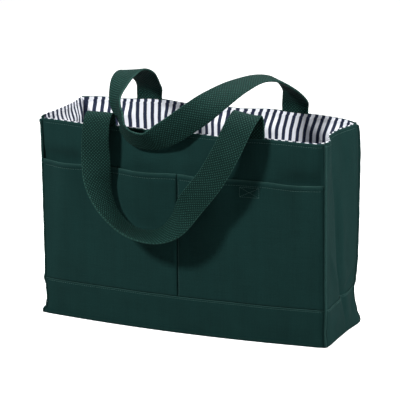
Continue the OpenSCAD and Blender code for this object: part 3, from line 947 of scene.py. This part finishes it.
strap("front_handle_strap",
      sewn("front", -LEFT_ANCHOR_X, 1) + FRONT_FREE + sewn("front", RIGHT_ANCHOR_X, -1)[::-1],
      ("front_handle", "front_handle_left_end", "front_handle_right_end"))
strap("back_handle_strap",
      sewn("back", -BACK_ANCHOR_X, 1) + BACK_FREE + sewn("back", BACK_ANCHOR_X, -1)[::-1],
      ("back_handle", "back_handle_left_end", "back_handle_right_end"))

# ---- Stitches ----

STITCH_R = 0.34
STITCH_PITCH = 3.3
STITCH_LENGTH = 2.7
CROSS_PITCH = 2.6
# A stitch's swell along its length
STITCH_SECTION = [(0.0, 0.0), (0.12, 0.62), (0.5, 1.0), (0.88, 0.62), (1.0, 0.0)]


def stitches(name, rows):
    """Rows of separate stitches. Each row is a place on the cloth and a list of (start, end)."""
    points, faces, cloth = [], [], []
    for place, pairs in rows:
        for (s0, z0), (s1, z1) in pairs:
            a = place(s0, z0, 0.0)
            mid = (s0 + s1) / 2, (z0 + z1) / 2
            out = place(*mid, -1.0) - place(*mid, 0.0)
            out = out / np.linalg.norm(out)
            run = place(s1, z1, 0.0) - a
            long = np.linalg.norm(run)
            run = run / long
            side = np.cross(run, out)
            first = len(points)
            for share, swell in STITCH_SECTION:
                centre = a + run * long * share + out * (0.34 * swell - 0.12)
                for k in range(6):
                    t = k * math.pi / 3
                    r = STITCH_R * max(swell, 0.12)
                    points.append(centre + side * r * math.cos(t) + out * r * math.sin(t))
                    cloth.append((share * long, r * t))
            for j in range(len(STITCH_SECTION) - 1):
                for k in range(6):
                    i, m = first + 6 * j + k, first + 6 * j + (k + 1) % 6
                    faces.append([i, m, m + 6, i + 6])
            faces.append([first + k for k in range(5, -1, -1)])
            faces.append([first + 6 * (len(STITCH_SECTION) - 1) + k for k in range(6)])
    piece = make(name, np.array(points), faces, "thread", np.array(cloth))
    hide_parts(name)


def level_row(s0, s1, z):
    """Stitches side by side from s0 to s1 at height z."""
    n = int((s1 - s0) / STITCH_PITCH)
    starts = s0 + (s1 - s0 - n * STITCH_PITCH) / 2 + STITCH_PITCH * np.arange(n)
    return [((s, z), (s + STITCH_LENGTH, z)) for s in starts]


def line_row(s0, z0, s1, z1):
    """Stitches along a straight line."""
    long = math.hypot(s1 - s0, z1 - z0)
    n = max(2, round(long / CROSS_PITCH))
    ends = [(s0 + (s1 - s0) * k / n, z0 + (z1 - z0) * k / n) for k in range(n + 1)]
    return [((a[0] * 0.9 + b[0] * 0.1, a[1] * 0.9 + b[1] * 0.1),
             (a[0] * 0.1 + b[0] * 0.9, a[1] * 0.1 + b[1] * 0.9)) for a, b in zip(ends, ends[1:])]


def on_wall(side, lift):
    return lambda s, z, d: wall(side, s, z, d - lift)


def on_pocket(s, z, d):
    return pocket_place(s, z, d - CANVAS_T - 0.1)


def rows_round(z, lift, short):
    """A level row of stitches on each wall, each end short of the corner seam."""
    rows = []
    for side in WALL_NODE:
        half = HALF[side] - CORNER_GAP - short
        rows.append((on_wall(side, lift), level_row(-half, half, z)))
    return rows


def cross_lines(x):
    """The stitches of one boxed cross."""
    w, h = CROSS_W / 2 - 0.5, CROSS_H / 2 - 0.5
    z = CROSS_Z
    lines = [(x - w, z - h, x + w, z - h), (x + w, z - h, x + w, z + h),
             (x + w, z + h, x - w, z + h), (x - w, z + h, x - w, z - h),
             (x - w, z - h, x + w, z + h), (x - w, z + h, x + w, z - h)]
    return [pair for line in lines for pair in line_row(*line)]


hem_end = HALF_W - CORNER_GAP - 1.5
stitches("rim_stitching", rows_round(RIM_STITCH_Z, -0.3, 1.0))
stitches("band_stitching", rows_round(BAND_STITCH_Z, LAYER_T - 0.3, 1.5))
stitches("pocket_hem_stitching",
         [(on_pocket, level_row(s0, s1, HEM_STITCH_Z))
          for s0, s1 in ((-hem_end, -1.5), (2.5, hem_end))])
stitches("pocket_divider_stitching",
         [(on_pocket, line_row(2 * DIVIDER_X, POCKET_FOOT + 1, 2 * DIVIDER_X, POCKET_TOP - 10))])
stitches("front_handle_cross_stitching",
         [(on_pocket, cross_lines(RIGHT_ANCHOR_X) + cross_lines(-LEFT_ANCHOR_X))])
stitches("back_handle_cross_stitching",
         [(on_wall("back", 0.0), cross_lines(BACK_ANCHOR_X) + cross_lines(-BACK_ANCHOR_X))])

# ---- Floor, light and camera ----

AZIMUTH, ELEVATION, ROLL = math.radians(23.95), math.radians(15.13), math.radians(-0.68)
DISTANCE = 3.139
LENS, SENSOR = 209.9, 36.0
FLOOR_HALF, FLOOR_Z = 12.0, -0.0002
AIM = Vector((0.0006 * math.cos(AZIMUTH), 0.0006 * math.sin(AZIMUTH), 0.1652))


def floor():
    mesh = bpy.data.meshes.new("floor")
    corners = ((-1, -1), (1, -1), (1, 1), (-1, 1))
    mesh.from_pydata([(x * FLOOR_HALF, y * FLOOR_HALF, FLOOR_Z) for x, y in corners],
                     [], [(0, 1, 2, 3)])
    piece = bpy.data.objects.new("floor", mesh)
    bpy.context.scene.collection.objects.link(piece)
    n = Nodes("floor_white")
    seen = n.tree.nodes.new("ShaderNodeLightPath").outputs["Is Camera Ray"]
    # The floor shows white, but gives back little light, so that the cloth keeps its shadows
    n.link(n.mix(seen, (0.30, 0.30, 0.30, 1), (0.90, 0.90, 0.90, 1)), n.shader.inputs["Base Color"])
    n.shader.inputs["Emission Color"].default_value = (1, 1, 1, 1)
    n.link(n.maths("MULTIPLY", seen, 0.72), n.shader.inputs["Emission Strength"])
    n.shader.inputs["Roughness"].default_value = 0.9
    n.shader.inputs["Specular IOR Level"].default_value = 0.0
    mesh.materials.append(n.material)


def area_light(name, place, target, size, power):
    data = bpy.data.lights.new(name, "AREA")
    data.size = size
    data.energy = power
    light = bpy.data.objects.new(name, data)
    light.location = place
    light.rotation_euler = (Vector(target) - Vector(place)).to_track_quat("-Z", "Y").to_euler()
    bpy.context.scene.collection.objects.link(light)


def studio():
    scene = bpy.context.scene
    scene.view_settings.view_transform = "Standard"
    world = bpy.data.worlds.new("studio")
    world.use_nodes = True
    tree = world.node_tree
    tree.nodes["Background"].inputs["Color"].default_value = (0.96, 0.98, 1.0, 1)
    strength = tree.nodes.new("ShaderNodeMapRange")
    strength.inputs["To Min"].default_value = 0.16
    seen = tree.nodes.new("ShaderNodeLightPath").outputs["Is Camera Ray"]
    tree.links.new(seen, strength.inputs["Value"])
    tree.links.new(strength.outputs[0], tree.nodes["Background"].inputs["Strength"])
    scene.world = world
    area_light("key", (-0.75, -1.3, 1.25), (0, 0, 0.15), 0.22, 34)
    area_light("right_side", (1.45, -0.05, 0.70), (0.2, 0, 0.15), 0.5, 22)
    area_light("overhead", (-0.1, 0.35, 1.4), (0, 0, 0.2), 0.9, 26)


def camera():
    back = Vector((math.sin(AZIMUTH) * math.cos(ELEVATION),
                   -math.cos(AZIMUTH) * math.cos(ELEVATION), math.sin(ELEVATION)))
    right = Vector((math.cos(AZIMUTH), math.sin(AZIMUTH), 0))
    up = back.cross(right)
    x = right * math.cos(ROLL) + up * math.sin(ROLL)
    y = up * math.cos(ROLL) - right * math.sin(ROLL)
    data = bpy.data.cameras.new("camera")
    data.sensor_width = SENSOR
    data.lens = LENS
    data.clip_end = 50
    made = bpy.data.objects.new("camera", data)
    turned = Matrix((x, y, back)).transposed().to_4x4()
    made.matrix_world = Matrix.Translation(AIM + back * DISTANCE) @ turned
    bpy.context.scene.collection.objects.link(made)
    bpy.context.scene.camera = made


floor()
studio()
camera()
